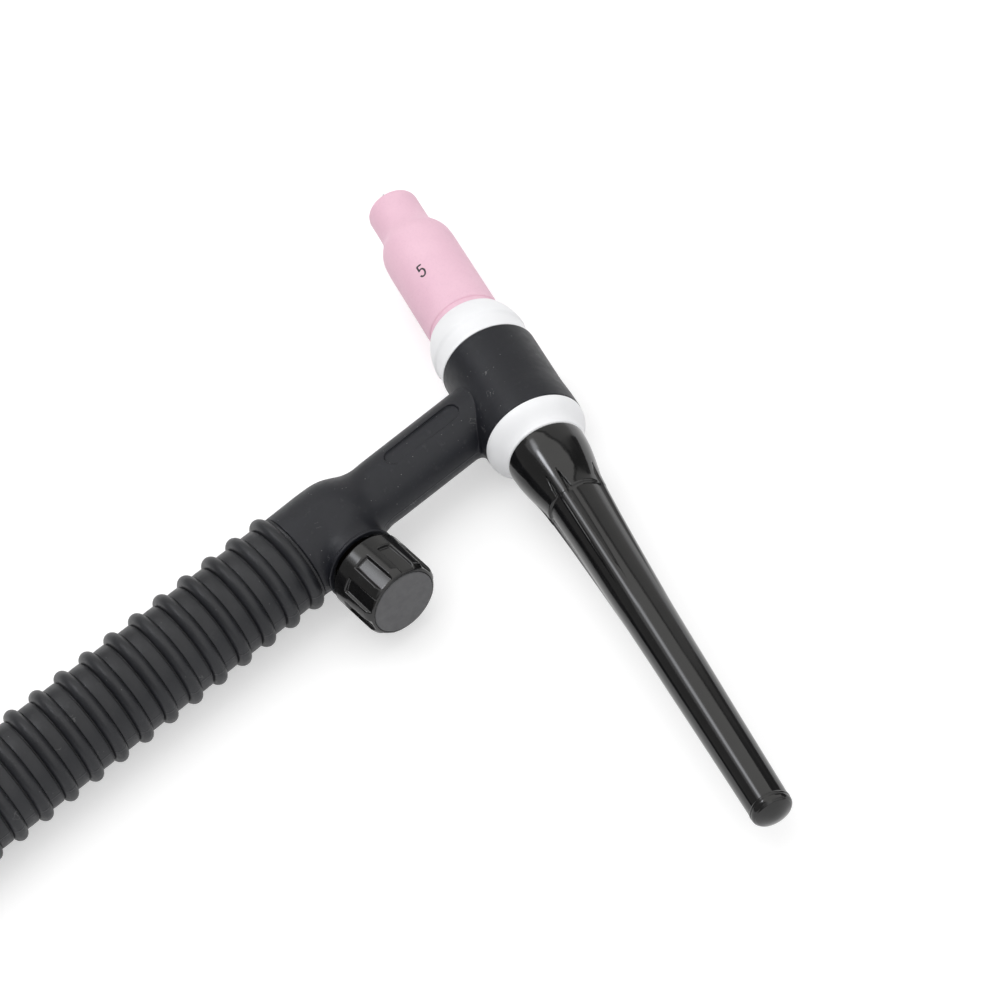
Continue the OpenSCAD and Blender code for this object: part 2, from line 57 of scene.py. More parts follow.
GAS = np.array([math.cos(HEAD_ANGLE), math.sin(HEAD_ANGLE), 0.0])
HEAD = np.array([HEAD_X, 0.0, 0.0])


def axes(origin, along, side):
    """Local axes: z runs along, x to the side. Rows of the matrix are local x, y and z."""
    along, side = np.array(along, float), np.array(side, float)
    return np.array([side, np.cross(along, side), along]), np.array(origin, float)


PART = axes((0, 0, 0), (0, 0, 1), (1, 0, 0))
FORWARD = axes(HEAD, GAS, (0, 0, -1))
BEHIND = axes(HEAD, -GAS, (0, 0, -1))
NECK = axes(HEAD, (-1, 0, 0), (0, 0, 1))
VALVE = axes((VALVE_X, 0, 0), (0, -1, 0), (1, 0, 0))


def placed(points, where):
    """Local points in mm as points of the part's frame in metres."""
    rows, origin = where
    return (np.asarray(points, float) @ rows + origin) * MM


# ---------------------------------------------------------------- meshes

def finish_piece(name, mesh, body, paint, nodes):
    """A painted piece that rides on the body and stands in for the CAD nodes."""
    obj = bpy.data.objects.new(name, mesh)
    bpy.context.scene.collection.objects.link(obj)
    mesh.materials.append(paint)
    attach(obj, body)
    if nodes:
        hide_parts(*nodes)


def build(name, points, faces, sharp_angle=35):
    """A mesh with its faces turned outwards and edges above the angle kept sharp."""
    mesh = bpy.data.meshes.new(name)
    mesh.from_pydata(points.tolist(), [], faces)
    work = bmesh.new()
    work.from_mesh(mesh)
    bmesh.ops.recalc_face_normals(work, faces=work.faces)
    work.to_mesh(mesh)
    work.free()
    mesh.polygons.foreach_set("use_smooth", [True] * len(mesh.polygons))
    mesh.set_sharp_from_angle(angle=math.radians(sharp_angle))
    return mesh


def tube_faces(rings, sides, closed=True):
    """Faces from ring to ring and, if closed, from the last ring back to the first."""
    faces = []
    for i in range(rings if closed else rings - 1):
        a, b = i * sides, (i + 1) % rings * sides
        for j in range(sides):
            k = (j + 1) % sides
            faces.append((a + j, a + k, b + k, b + j))
    return faces


def lathe_mesh(name, outline, where, sides=144):
    """Turns an outline. It closes on itself, or on the axis if it starts and ends there."""
    solid = outline[0][0] == 0 and outline[-1][0] == 0
    ring = outline[1:-1] if solid else outline
    turn = np.linspace(0, 2 * math.pi, sides, endpoint=False)
    r = np.array([p[0] for p in ring])[:, None]
    t = np.array([p[1] for p in ring])[:, None]
    points = np.stack([r * np.cos(turn), r * np.sin(turn), t + 0 * turn], 2).reshape(-1, 3)
    rows = len(ring)
    faces = tube_faces(rows, sides, closed=not solid)
    if solid:
        points = np.vstack([points, [[0, 0, outline[0][1]], [0, 0, outline[-1][1]]]])
        first, last, end = rows * sides, rows * sides + 1, (rows - 1) * sides
        for j in range(sides):
            k = (j + 1) % sides
            faces.append((first, k, j))
            faces.append((last, end + j, end + k))
    return build(name, placed(points, where), faces)


def soft_corners(points, radius, steps, least):
    """Rounds the corners of a closed outline that turn by more than the least angle."""
    made = []
    count = len(points)
    longest = 0.45
    for i in range(count):
        p, a, b = (np.array(points[k % count], float) for k in (i, i - 1, i + 1))
        to_a, to_b = a - p, b - p
        la, lb = np.linalg.norm(to_a), np.linalg.norm(to_b)
        to_a, to_b = to_a / la, to_b / lb
        turn = math.degrees(math.acos(max(-1, min(1, -to_a @ to_b))))
        if turn < least:
            made.append(tuple(p))
            continue
        cut = min(radius * math.tan(math.radians(turn / 2)), longest * la, longest * lb)
        start, end = p + to_a * cut, p + to_b * cut
        for k in range(steps + 1):
            s = k / steps
            made.append(tuple((1 - s) ** 2 * start + 2 * s * (1 - s) * p + s * s * end))
    return made


def through(points, steps):
    """A smooth line through the points."""
    p = np.array([points[0]] + list(points) + [points[-1]], float)
    made = []
    for i in range(1, len(p) - 2):
        for k in range(steps):
            s = k / steps
            made.append(tuple(0.5 * (
                2 * p[i] + (p[i + 1] - p[i - 1]) * s
                + (2 * p[i - 1] - 5 * p[i] + 4 * p[i + 1] - p[i + 2]) * s ** 2
                + (3 * p[i] - p[i - 1] - 3 * p[i + 1] + p[i + 2]) * s ** 3)))
    made.append(tuple(p[-1]))
    return made


def smoothed(places, radii, curved=False):
    """A finely sampled outline without the kinks of its points, or a curve through them."""
    samples, width, steps = 400, 9, 12
    fine = np.linspace(places[0], places[-1], samples)
    if curved:
        places, radii = zip(*through(list(zip(places, radii)), steps))
    r = np.interp(fine, places, radii)
    padded = np.concatenate([np.full(width, r[0]), r, np.full(width, r[-1])])
    kernel = np.hanning(2 * width + 1)
    return fine, np.convolve(padded, kernel / kernel.sum(), "valid")


def thread_mesh(name, plain_start, thread, plain_end, where):
    """A screw: plain outlines at both ends and a helical thread (root, crest, pitch, from, to)."""
    root, crest, pitch, start, end = thread
    sides, per_turn, flank = 72, 14, 3.2
    turn = np.linspace(0, 2 * math.pi, sides, endpoint=False)
    rows = [(np.full(sides, r), t) for r, t in plain_start]
    for t in np.arange(start, end, pitch / per_turn):
        phase = (t / pitch - turn / (2 * math.pi)) % 1.0
        ridge = np.clip(flank * (0.5 - np.abs(phase - 0.5)), 0, 1)
        fade = min(1, (t - start) / pitch, (end - t) / pitch)
        rows.append((root + (crest - root) * ridge * fade, t))
    rows += [(np.full(sides, r), t) for r, t in plain_end]
    points = np.concatenate([
        np.stack([r * np.cos(turn), r * np.sin(turn), np.full(sides, t)], 1) for r, t in rows])
    return build(name, placed(points, where), tube_faces(len(rows), sides), sharp_angle=50)


# ---------------------------------------------------------------- fields

def join(a, b, soft):
    """Both solids, with a fillet of about that size where they meet."""
    h = np.clip(0.5 + 0.5 * (b - a) / soft, 0, 1)
    return b + (a - b) * h - soft * h * (1 - h)


def common(a, b, soft):
    """What lies in both, with its edge rounded."""
    return -join(-a, -b, soft)


def without(a, b, soft=0.15):
    """The first solid, with the second cut out of it."""
    return common(a, -b, soft)


def rod(r, t, start, end, radius, soft=0.12):
    """A round rod, for places r from its axis and t along it."""
    return common(r - radius, np.maximum(start - t, t - end), soft)


def slope(field, points, step=0.02):
    """How fast the field rises at each point, along each axis."""
    g = np.empty_like(points)
    for i in range(3):
        near, far = points.copy(), points.copy()
        near[:, i] -= step
        far[:, i] += step
        g[:, i] = (field(*far.T) - field(*near.T)) / (2 * step)
    return g


def field_mesh(name, field, low, high, cell, where):
    """The surface of a field: one point in each cell that it crosses, drawn onto it."""
    passes, reach, least_slope = 3, 0.4 * cell, 0.05
    low, high = np.array(low, float), np.array(high, float)
    count = np.ceil((high - low) / cell).astype(int) + 1
    lines = [low[i] + cell * np.arange(count[i]) for i in range(3)]
    value = field(*np.meshgrid(*lines, indexing="ij"))
    cells = count - 1
    size = int(np.prod(cells))
    total, hits, quads = np.zeros((size, 3)), np.zeros(size), []
    for a in range(3):
        b, c = (a + 1) % 3, (a + 2) % 3
        near, far = [slice(None)] * 3, [slice(None)] * 3
        near[a], far[a] = slice(0, -1), slice(1, None)
        f0, f1 = value[tuple(near)], value[tuple(far)]
        at = np.stack(np.nonzero((f0 < 0) != (f1 < 0)), 1)
        g0, g1 = f0[tuple(at.T)], f1[tuple(at.T)]
        point = low + cell * at
        point[:, a] += cell * g0 / (g0 - g1)
        corner = []
        for db, dc in ((0, 0), (-1, 0), (-1, -1), (0, -1)):
            q = at.copy()
            q[:, b] += db
            q[:, c] += dc
            flat = np.ravel_multi_index(q.T, cells)
            for i in range(3):
                total[:, i] += np.bincount(flat, point[:, i], size)
            hits += np.bincount(flat, minlength=size)
            corner.append(flat)
        quad = np.stack(corner, 1)
        quad[g0 > 0] = quad[g0 > 0][:, ::-1]
        quads.append(quad)
    used, index = np.unique(np.concatenate(quads), return_inverse=True)
    points = total[used] / hits[used][:, None]
    for _ in range(passes):
        g = slope(field, points)
        square = np.maximum((g * g).sum(1, keepdims=True), least_slope)
        points -= np.clip(field(*points.T)[:, None] * g / square, -reach, reach)
    normals = slope(field, points)
    normals /= np.maximum(np.linalg.norm(normals, axis=1, keepdims=True), 1e-6)
    mesh = bpy.data.meshes.new(name)
    mesh.from_pydata(placed(points, where).tolist(), [], index.reshape(-1, 4).tolist())
    mesh.polygons.foreach_set("use_smooth", [True] * len(mesh.polygons))
    mesh.normals_split_custom_set_from_vertices((normals @ where[0]).tolist())
    return mesh


# ---------------------------------------------------------------- nodes

def new_material(name):
    mat = bpy.data.materials.new(name)
    mat.use_nodes = True
    return mat, mat.node_tree


def add_node(tree, kind, **settings):
    made = tree.nodes.new(kind)
    for key, value in settings.items():
        setattr(made, key, value)
    return made


def wire(tree, out, into):
    """Links an output, or sets a plain value."""
    if hasattr(out, "is_output"):
        tree.links.new(out, into)
    else:
        into.default_value = out


def calculate(tree, operation, a, b):
    made = add_node(tree, "ShaderNodeMath", operation=operation)
    wire(tree, a, made.inputs[0])
    wire(tree, b, made.inputs[1])
    return made.outputs[0]


def map_range(tree, value, low, high, to_low, to_high, **settings):
    made = add_node(tree, "ShaderNodeMapRange", **settings)
    wire(tree, value, made.inputs["Value"])
    for key, number in (("From Min", low), ("From Max", high),
                        ("To Min", to_low), ("To Max", to_high)):
        made.inputs[key].default_value = number
    return made.outputs["Result"]


def add_shaders(tree, a, b):
    made = add_node(tree, "ShaderNodeAddShader")
    wire(tree, a, made.inputs[0])
    wire(tree, b, made.inputs[1])
    return made.outputs[0]


def colour(value):
    """A colour triple with its alpha. Anything else stays as it is."""
    return (*value, 1.0) if isinstance(value, tuple) and len(value) == 3 else value


# ---------------------------------------------------------------- paints

class Paint:
    """A Principled material and the texture nodes that feed it, measured in millimetres."""

    def __init__(self, name, roughness=0.5, metallic=0.0, specular=0.5):
        self.mat, self.tree = new_material(name)
        self.shader = self.tree.nodes["Principled BSDF"]
        self.shader.inputs["Roughness"].default_value = roughness
        self.shader.inputs["Metallic"].default_value = metallic
        self.shader.inputs["Specular IOR Level"].default_value = specular
        place = self.node("ShaderNodeTexCoord")
        scale = self.node("ShaderNodeVectorMath", operation="SCALE")
        scale.inputs["Scale"].default_value = 1 / MM
        self.link(place.outputs["Object"], scale.inputs[0])
        self.mm = scale.outputs[0]
        self.heights = []

    def node(self, kind, **settings):
        return add_node(self.tree, kind, **settings)

    def link(self, out, into):
        wire(self.tree, out, into)

    def math(self, operation, a, b=0.0):
        return calculate(self.tree, operation, a, b)

    def span(self, value, low, high, to_low=0.0, to_high=1.0):
        return map_range(self.tree, value, low, high, to_low, to_high)

    def stretched(self, factors):
        """The place with each axis scaled, for grain that runs one way."""
        made = self.node("ShaderNodeVectorMath", operation="MULTIPLY")
        self.link(self.mm, made.inputs[0])
        made.inputs[1].default_value = factors
        return made.outputs[0]

    def noise(self, per_mm, detail=3.0, rough=0.55, place=None):
        made = self.node("ShaderNodeTexNoise")
        self.link(place or self.mm, made.inputs["Vector"])
        made.inputs["Scale"].default_value = per_mm
        made.inputs["Detail"].default_value = detail
        made.inputs["Roughness"].default_value = rough
        return made.outputs["Fac"]

    def specks(self, per_mm, size, share):
        """Round specks of that size in mm, in that share of the cells."""
        cell = self.node("ShaderNodeTexVoronoi")
        self.link(self.mm, cell.inputs["Vector"])
        cell.inputs["Scale"].default_value = per_mm
        chance = self.node("ShaderNodeSeparateColor")
        self.link(cell.outputs["Color"], chance.inputs[0])
        chosen = self.math("GREATER_THAN", chance.outputs[0], 1 - share)
        spot = self.span(cell.outputs["Distance"], 0.5 * size * per_mm, size * per_mm, 1, 0)
        return self.math("MULTIPLY", spot, chosen)

    def lint(self, per_mm, width, share):
        """Fine curled fibres: thin bands of a soft noise, kept in a few patches."""
        field = self.noise(per_mm, 1.0, 0.5)
        off = self.math("ABSOLUTE", self.math("SUBTRACT", field, 0.5))
        line = self.span(off, 0.4 * width, width, 1, 0)
        patch = self.specks(0.5 * per_mm, 0.9 / per_mm, share)
        return self.math("MULTIPLY", line, self.span(patch, 0.1, 0.5))

    def mix(self, factor, a, b):
        made = self.node("ShaderNodeMix", data_type="RGBA")
        self.link(factor, made.inputs["Factor"])
        colours = [s for s in made.inputs if s.type == "RGBA"]
        self.link(colour(a), colours[0])
        self.link(colour(b), colours[1])
        return [s for s in made.outputs if s.type == "RGBA"][0]

    def dusted(self, base, mask, strength, dust):
        """The base with dust where the mask is, at that strength."""
        return self.mix(self.math("MULTIPLY", mask, strength), base, dust)

    def axis(self, index):
        made = self.node("ShaderNodeSeparateXYZ")
        self.link(self.mm, made.inputs[0])
        return made.outputs[index]

    def height(self, value, mm):
        """Adds relief: the value's full range stands that many millimetres high."""
        self.heights.append(self.math("MULTIPLY", value, mm))

    def done(self, base, roughness):
        self.link(base, self.shader.inputs["Base Color"])
        self.link(roughness, self.shader.inputs["Roughness"])
        total = self.heights[0]
        for more in self.heights[1:]:
            total = self.math("ADD", total, more)
        bump = self.node("ShaderNodeBump")
        bump.inputs["Strength"].default_value = 1.0
        bump.inputs["Distance"].default_value = MM
        self.link(total, bump.inputs["Height"])
        self.link(bump.outputs[0], self.shader.inputs["Normal"])
        return self.mat


def seam(paint, z_mm, width):
    """The rubber's fine moulding line, at that height, on the side of the back cap."""
    line_start, line_full = -4.0, -5.0
    off = paint.math("ABSOLUTE", paint.math("SUBTRACT", paint.axis(2), z_mm))
    side = paint.span(paint.axis(1), line_start, line_full)
    return paint.math("MULTIPLY", paint.span(off, 0.3 * width, width, 1, 0), side)


def rubber_paint(name, dark, pale, dust, dust_share, shine):
    p = Paint(name, specular=0.35)
    cloud = p.noise(0.07, 3.0, 0.5)
    base = p.mix(p.span(cloud, 0.35, 0.7), dark, pale)
    line = seam(p, z_mm=-0.6, width=0.28)
    base = p.dusted(base, p.specks(0.8, 0.13, dust_share), 0.6, dust)
    base = p.dusted(base, p.specks(0.3, 0.16, 0.6 * dust_share), 0.6, dust)
    base = p.dusted(base, p.lint(0.6, 0.02, 0.4 * dust_share), 0.3, dust)
    haze = p.span(p.noise(0.5, 5.0, 0.7), 0.58, 0.85, 0.0, 0.1)
    base = p.mix(haze, base, dust)
    p.height(p.noise(5.0, 4.0, 0.6), 0.01)
    p.height(p.noise(0.35, 2.0), 0.03)
    p.height(line, 0.05)
    return p.done(base, p.span(p.noise(0.5, 4.0), 0.3, 0.7, shine - 0.05, shine + 0.07))


def gloss_paint(name, base_colour, shine, peel, dust_share):
    p = Paint(name, specular=0.5)
    paler = tuple(1.6 * v for v in base_colour)
    base = p.mix(p.span(p.noise(0.2), 0.3, 0.7), base_colour, paler)
    base = p.dusted(base, p.specks(0.3, 0.08, dust_share), 0.4, (0.5, 0.5, 0.48))
    p.height(p.noise(0.25, 2.0), peel)
    p.height(p.noise(2.0, 2.0), 0.0006)
    smear = p.noise(0.12, 5.0, 0.65, p.stretched((1.0, 0.35, 1.0)))
    return p.done(base, p.span(smear, 0.4, 0.75, shine, shine + 0.05))


def white_paint():
    p = Paint("white_ptfe", specular=0.4)
    base = p.mix(p.span(p.noise(0.16, 4.0), 0.35, 0.7), (0.93, 0.935, 0.95), (0.9, 0.905, 0.92))
    base = p.dusted(base, p.specks(0.35, 0.09, 0.06), 0.35, (0.35, 0.32, 0.28))
    p.height(p.noise(3.0, 3.0), 0.006)
    return p.done(base, p.span(p.noise(0.6, 3.0), 0.3, 0.7, 0.42, 0.5))


def ceramic_paint():
    p = Paint("pink_alumina", specular=0.4)
    cloud = p.span(p.noise(0.09, 4.0, 0.6), 0.35, 0.7)
    base = p.mix(cloud, (0.885, 0.57, 0.685), (0.84, 0.525, 0.645))
    mottle = p.span(p.noise(1.6, 5.0, 0.7), 0.5, 0.8, 0.0, 0.3)
    base = p.mix(mottle, base, (0.66, 0.39, 0.50))
    base = p.dusted(base, p.specks(0.5, 0.08, 0.05), 0.3, (0.3, 0.2, 0.22))
    p.height(p.noise(4.0, 4.0, 0.6), 0.014)
    p.height(p.noise(0.3, 2.0), 0.04)
    return p.done(base, p.span(p.noise(0.8, 3.0), 0.3, 0.7, 0.45, 0.6))


def metal_paint(name, clean, aged, roughness, along):
    """Turned or drawn metal, with fine tool marks across the stretched axis."""
    p = Paint(name, metallic=1.0)
    stain = p.span(p.noise(0.25, 5.0, 0.65), 0.42, 0.75)
    base = p.mix(stain, clean, aged)
    marks = p.noise(2.5, 3.0, 0.6, p.stretched(along))
    p.height(marks, 0.01)
    return p.done(base, p.span(marks, 0.3, 0.7, roughness - 0.06, roughness + 0.1))


def plain_paint(name, base_colour, roughness, grain):
    p = Paint(name, specular=0.45)
    paler = tuple(1.3 * v for v in base_colour)
    base = p.mix(p.span(p.noise(0.4, 4.0), 0.35, 0.7), base_colour, paler)
    p.height(p.noise(4.0, 3.0), grain)
    return p.done(base, p.span(p.noise(1.0), 0.3, 0.7, roughness - 0.06, roughness + 0.06))


casing_rubber = rubber_paint(
    "casing_rubber", dark=(0.0075, 0.0085, 0.0132), pale=(0.0102, 0.0112, 0.0164),
    dust=(0.26, 0.26, 0.26), dust_share=0.3, shine=0.46)
handle_rubber = rubber_paint(
    "handle_rubber", dark=(0.0125, 0.0132, 0.0165), pale=(0.019, 0.0199, 0.0235),
    dust=(0.2, 0.2, 0.2), dust_share=0.12, shine=0.43)
cap_black = gloss_paint(
    "cap_phenolic", (0.0045, 0.0045, 0.0048), shine=0.1, peel=0.006, dust_share=0.06)
knob_black = gloss_paint(
    "knob_phenolic", (0.005, 0.005, 0.0052), shine=0.14, peel=0.008, dust_share=0.08)
white = white_paint()
pink = ceramic_paint()
cover_grey = plain_paint("cover_grey", (0.068, 0.068, 0.072), roughness=0.36, grain=0.008)
ink = plain_paint("size_ink", (0.012, 0.012, 0.013), roughness=0.5, grain=0.004)
brass = metal_paint("brass", (0.72, 0.52, 0.24), (0.5, 0.33, 0.14), 0.27, (1.0, 1.0, 0.2))
dark_brass = metal_paint(
    "dark_brass", (0.07, 0.06, 0.045), (0.03, 0.026, 0.02), 0.4, (1.0, 1.0, 0.2))
copper = metal_paint("copper", (0.74, 0.36, 0.22), (0.42, 0.19, 0.12), 0.3, (1.0, 0.2, 1.0))
tungsten = metal_paint("tungsten", (0.4, 0.41, 0.43), (0.26, 0.27, 0.28), 0.34, (3.0, 0.15, 3.0))
steel = metal_paint("zinc_steel", (0.56, 0.57, 0.59), (0.4, 0.4, 0.41), 0.3, (1.0, 0.3, 1.0))
nitrile = plain_paint("nitrile", (0.01, 0.01, 0.01), roughness=0.4, grain=0.003)


# ---------------------------------------------------------------- casing

# Skin: the barrel runs back from its front end, the neck from the head's axis
BARREL_FRONT, BARREL_REAR = -11.0, 16.0
BARREL_LINE = smoothed([BARREL_FRONT, 5.0, 7.0, 10.0, 12.0, BARREL_REAR],
                       [12.5, 12.5, 12.55, 12.73, 12.81, 12.88])
NECK_LINE = smoothed(
    [0.0, 40.0, 43.0, 44.5, 46.0, 47.0, 48.0, 49.0, 50.0, 51.0, 52.0, 53.0, 55.0, 58.0,
     HANDLE_FRONT],
    [8.35, 8.25, 8.15, 8.35, 8.71, 9.13, 9.63, 10.1, 10.55, 10.88, 11.12, 11.3, 11.44,
     11.5, 11.4])
BOSS_R, BOSS_TOP, BOSS_FILLET = 9.0, 14.0, 2.4
LIP_START, LIP_RISE, LIP_WIDER = 12.9, 0.5, 0.55
LEAST_FILLET, WEB_FILLET, WEB_START, WEB_SPAN = 0.25, 2.8, 5.5, 2.5

# Label panel on the neck's top
NECK_R = 8.3
PANEL_PLACE, PANEL_OFF, PANEL_HALF, PANEL_R, PANEL_SINK = 25.45, -0.2, 8.72, 2.33, 0.5

# What the casing holds
BOND = 0.03
CORE_R, CORE_STEP, CORE_NOSE_R = 9.5, -9.0, 8.0
NECK_TUBE_R, NECK_TUBE_END = 5.0, 52.5
BLOCK_R, BLOCK_FRONT, BLOCK_BACK, BLOCK_BOSS_R = 8.0, 48.5, 70.0, 6.6
SPIGOT_R, SPIGOT_START, SPIGOT_END, SPIGOT_BORE_R = 8.95, 60.0, 80.0, 7.7
RECESS_R, RECESS_DEPTH = 8.2, 1.5


def casing_field(x, y, z):
    # Radius and place on the head's axis, the neck's axis and the valve's axis
    t = -((x - HEAD_X) * GAS[0] + y * GAS[1])
    side = -(x - HEAD_X) * GAS[1] + y * GAS[0]
    r_head = np.sqrt(side ** 2 + z ** 2)
    d, r_neck = HEAD_X - x, np.sqrt(y ** 2 + z ** 2)
    h, r_valve = -y, np.sqrt((x - VALVE_X) ** 2 + z ** 2)
    barrel = common(r_head - np.interp(t, *BARREL_LINE),
                    np.maximum(BARREL_FRONT - t, t - BARREL_REAR), 0.4)
    neck = common(r_neck - np.interp(d, *NECK_LINE), np.maximum(-d, d - HANDLE_FRONT), 0.35)
    lip = BOSS_R + LIP_WIDER * np.clip((h - LIP_START) / LIP_RISE, 0, 1)
    boss = common(r_valve - lip, np.maximum(-h, h - BOSS_TOP), 0.3)
    body = join(neck, boss, BOSS_FILLET)
    # The barrel's fillet widens to a web at the neck's lower side, towards the cap
    web = np.clip((-0.8 * y - 0.6 * z - WEB_START) / WEB_SPAN, 0, 1)
    body = join(body, barrel, LEAST_FILLET + WEB_FILLET * web)
    body = np.minimum(body, rod(r_neck, d, SPIGOT_START, SPIGOT_END, SPIGOT_R))
    # Shallow label panel, left bare
    along = np.clip(d - PANEL_PLACE, -PANEL_HALF, PANEL_HALF)
    stadium = np.sqrt((d - PANEL_PLACE - along) ** 2 + (y - PANEL_OFF) ** 2) - PANEL_R
    panel = common(stadium, NECK_R - PANEL_SINK - z - 0.5 * y ** 2 / NECK_R, 0.1)
    body = without(body, np.maximum(panel, -z), 0.12)
    for space in (
        rod(r_head, t, CORE_STEP - BOND, BARREL_REAR + 1.0, CORE_R + BOND),
        rod(r_head, t, BARREL_FRONT - 1.5, 0.0, CORE_NOSE_R + BOND),
        rod(r_neck, d, 0.0, NECK_TUBE_END + BOND, NECK_TUBE_R + BOND),
        rod(r_neck, d, BLOCK_FRONT - BOND, BLOCK_BACK + BOND, BLOCK_R + BOND),
        rod(r_neck, d, BLOCK_BACK, SPIGOT_END + 1.0, SPIGOT_BORE_R),
        rod(r_valve, h, 0.0, BOSS_TOP + 0.5, BLOCK_BOSS_R + BOND),
        rod(r_valve, h, BOSS_TOP - RECESS_DEPTH, BOSS_TOP + 0.6, RECESS_R),
    ):
        body = without(body, space)
    return body


casing = field_mesh("casing_shell", casing_field, low=(116.4, -19.5, -13.3),
                    high=(213.2, 14.9, 13.3), cell=0.3, where=PART)
finish_piece("casing_shell", casing, "torch", casing_rubber, ["torch_casing"])


# ---------------------------------------------------------------- handle

BAND_R, BEAD_R, BEAD_MIDDLE, BEAD_SUNK = 11.5, 1.77, 11.23, 0.12
FIRST_RIB, RIB_PITCH, RIBS = HANDLE_FRONT + 2.6, 7.34, 17
HANDLE_BORE_R, CABLE_SEAT_R, CABLE_SEAT = 9.0, 9.5, HANDLE_REAR - 22.0

# Creases beside a bead: depth below the band and distance from the bead's foot
FINE_CREASE = [(0.0, 0.3), (0.03, 0.16), (0.16, 0.03)]
DEEP_CREASE = [(0.5, 0.08), (0.52, 0.26), (0.08, 0.42), (0.0, 0.56)]


def handle_outline():
    """Round beads on a plain sleeve, each with a deep crease behind it and a fine one ahead."""
    steps = 16
    line = [(HANDLE_BORE_R + 0.05, HANDLE_FRONT), (BAND_R - 0.3, HANDLE_FRONT),
            (BAND_R, HANDLE_FRONT + 0.3)]
    dip = math.asin((BAND_R - BEAD_MIDDLE - BEAD_SUNK) / BEAD_R)
    foot = BEAD_R * math.cos(dip)
    for i in range(RIBS):
        mid = FIRST_RIB + i * RIB_PITCH
        if i:
            line += [(BAND_R - deep, mid - foot - off) for deep, off in FINE_CREASE]
        for k in range(steps + 1):
            a = dip + (math.pi - 2 * dip) * k / steps
            line.append((BEAD_MIDDLE + BEAD_R * math.sin(a), mid - BEAD_R * math.cos(a)))
        line += [(BAND_R - deep, mid + foot + off) for deep, off in DEEP_CREASE]
        line.append((BAND_R + 0.04, mid + 0.5 * RIB_PITCH + 0.4))
    rear_rim = [(BAND_R, HANDLE_REAR - 0.8), (BAND_R - 0.25, HANDLE_REAR - 0.2),
                (BAND_R - 0.8, HANDLE_REAR), (CABLE_SEAT_R + 0.3, HANDLE_REAR)]
    passage = [(CABLE_SEAT_R, HANDLE_REAR - 0.3), (CABLE_SEAT_R, CABLE_SEAT),
               (HANDLE_BORE_R, CABLE_SEAT), (HANDLE_BORE_R, HANDLE_FRONT + 0.1)]
    return line + rear_rim + passage


grip = lathe_mesh("handle_grip", handle_outline(), NECK, sides=160)
finish_piece("handle_grip", grip, "torch", handle_rubber, ["handle_sleeve"])


# ---------------------------------------------------------------- white rings

gasket_collar = through([(12.3, 12.4), (12.16, 14.2), (12.14, 16.0)], 3)
gasket_dome = through([(12.42, 16.5), (12.28, 18.0), (11.93, 19.8), (11.43, 21.4),
                       (10.93, 22.6), (10.66, 23.1)], 4)
gasket_line = [(8.1, 11.12), (12.35, 11.12)] + gasket_collar + gasket_dome + [
    (10.4, 23.42), (10.1, 23.5), (7.5, 23.5), (7.5, 16.1), (8.1, 16.1)]
gasket = lathe_mesh("gasket_ring", soft_corners(gasket_line, 0.2, 3, 40), FORWARD)
finish_piece("gasket_ring", gasket, "gasket", white, ["front_gasket"])

rear_slope = through([(12.82, 16.3), (12.8, 16.8), (12.72, 17.3), (12.45, 18.1), (11.85, 19.1),
                      (11.15, 20.05), (10.55, 21.0), (10.2, 21.9)], 4)
rear_line = [(8.95, 16.02), (12.8, 16.02)] + rear_slope + [
    (10.1, 22.45), (9.8, 22.7), (8.5, 22.7), (8.5, 18.5), (8.95, 18.5)]
rear_ring = lathe_mesh("rear_ring", soft_corners(rear_line, 0.15, 3, 40), BEHIND)
finish_piece("rear_ring", rear_ring, "torch", white, ["rear_insulator"])


# ---------------------------------------------------------------- gas cup

CUP_BACK, CUP_FRONT = 23.6, 72.6
CUP_R, NOSE_R, MOUTH_R, CUP_BORE_R = 9.65, 6.8, 4.0, 6.7

cup_groove = [(CUP_R - 0.15, 25.45), (CUP_R - 0.33, 25.58), (CUP_R - 0.33, 25.72),
              (CUP_R - 0.03, 25.95)]
cup_skin = through(
    [(CUP_R, 26.5), (CUP_R, 50.0), (9.62, 53.5), (9.54, 55.0), (9.43, 56.0), (9.17, 57.0),
     (8.78, 58.0), (8.26, 59.0), (7.79, 60.0), (7.37, 61.0), (7.08, 62.0), (6.9, 63.0),
     (6.82, 64.2), (NOSE_R, 66.0), (NOSE_R, 71.8)], 3)
cup_mouth = [(NOSE_R - 0.15, 72.35), (NOSE_R - 0.6, CUP_FRONT), (MOUTH_R + 0.5, CUP_FRONT),
             (MOUTH_R + 0.12, 72.4), (MOUTH_R, 72.0), (MOUTH_R, 59.3), (CUP_BORE_R, 52.3)]
cup_line = ([(CUP_BORE_R, CUP_BACK), (CUP_R - 0.17, CUP_BACK)]
            + cup_groove + cup_skin + cup_mouth)
cup = lathe_mesh("cup_shell", soft_corners(cup_line, 0.12, 2, 40), FORWARD)
finish_piece("cup_shell", cup, "cup", pink, ["gas_cup"])

DIGIT_PLACE, DIGIT_TURN, DIGIT_R = 40.7, math.radians(22.0), CUP_R + 0.018
DIGIT_SCALE, HALF_STROKE, LAYER = (0.9, 0.97), 0.24, 0.002


